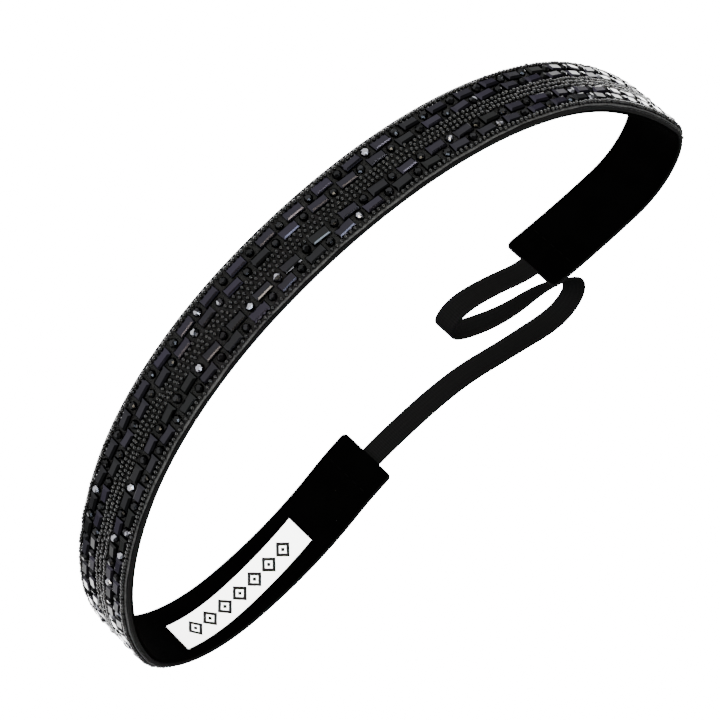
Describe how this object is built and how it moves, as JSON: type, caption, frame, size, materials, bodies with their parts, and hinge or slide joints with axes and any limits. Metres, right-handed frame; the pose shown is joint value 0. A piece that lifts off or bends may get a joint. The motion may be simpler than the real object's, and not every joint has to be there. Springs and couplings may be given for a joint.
{
  "type": "sports headband",
  "caption": "Non-slip sports headband: velvet-lined ribbon with rows of jet rhinestones and seed beads, closed by a narrow looped elastic, standing on its edge.",
  "frame": {"origin": "centre of the bounding box in plan, on the surface that the band's lower edge rests on", "axes": "+X from the plain end towards the label end, +Y from the stone-covered crown towards the elastic, +Z across the band's width from lower edge to upper edge"},
  "size_m": [0.1713, 0.1383, 0.016],
  "materials": {
    "velvet": "black short-pile velvet",
    "grosgrain": "black ribbed polyester ribbon",
    "trim_tape": "black net tape with a thin film of glue",
    "jet_stone": "polished jet-black faceted glass with a bluish reflection",
    "jet_round_stone": "polished jet-black faceted glass",
    "seed_bead": "glossy black seed beads",
    "elastic": "matt black woven elastic, fine ribs",
    "satin": "white woven satin, blank",
    "thread": "black polyester thread"
  },
  "bodies": {
    "label_half": {"baguettes_row_1_right": "jet_stone", "baguettes_row_2_right": "jet_stone", "baguettes_row_3_right": "jet_stone", "baguettes_row_4_right": "jet_stone", "base_ribbon_right": "grosgrain", "centre_beads_right": "seed_bead", "elastic_strap": "elastic", "lower_edge_beads_right": "seed_bead", "round_stones_row_1_right": "jet_round_stone", "round_stones_row_2_right": "jet_round_stone", "round_stones_row_3_right": "jet_round_stone", "round_stones_row_4_right": "jet_round_stone", "satin_label": "satin", "tab_seam_right": "thread", "trim_tape_right": "trim_tape", "upper_edge_beads_right": "seed_bead", "velvet_lining_right": "velvet"},
    "plain_half": {"baguettes_row_1_left": "jet_stone", "baguettes_row_2_left": "jet_stone", "baguettes_row_3_left": "jet_stone", "baguettes_row_4_left": "jet_stone", "base_ribbon_left": "grosgrain", "centre_beads_left": "seed_bead", "lower_edge_beads_left": "seed_bead", "round_stones_row_1_left": "jet_round_stone", "round_stones_row_2_left": "jet_round_stone", "round_stones_row_3_left": "jet_round_stone", "round_stones_row_4_left": "jet_round_stone", "tab_seam_left": "thread", "trim_tape_left": "trim_tape", "upper_edge_beads_left": "seed_bead", "velvet_lining_left": "velvet"}
  },
  "joints": [
    {"name": "crown_flex", "type": "hinge", "parent": "label_half", "child": "plain_half", "pos_m": [0.00415, -0.06955, 0.008], "axis": [0, 0, 1], "range_deg": [0, 30], "stiffness_Nm_per_rad": 0.01, "deforming": ["elastic_strap"]}
  ]
}
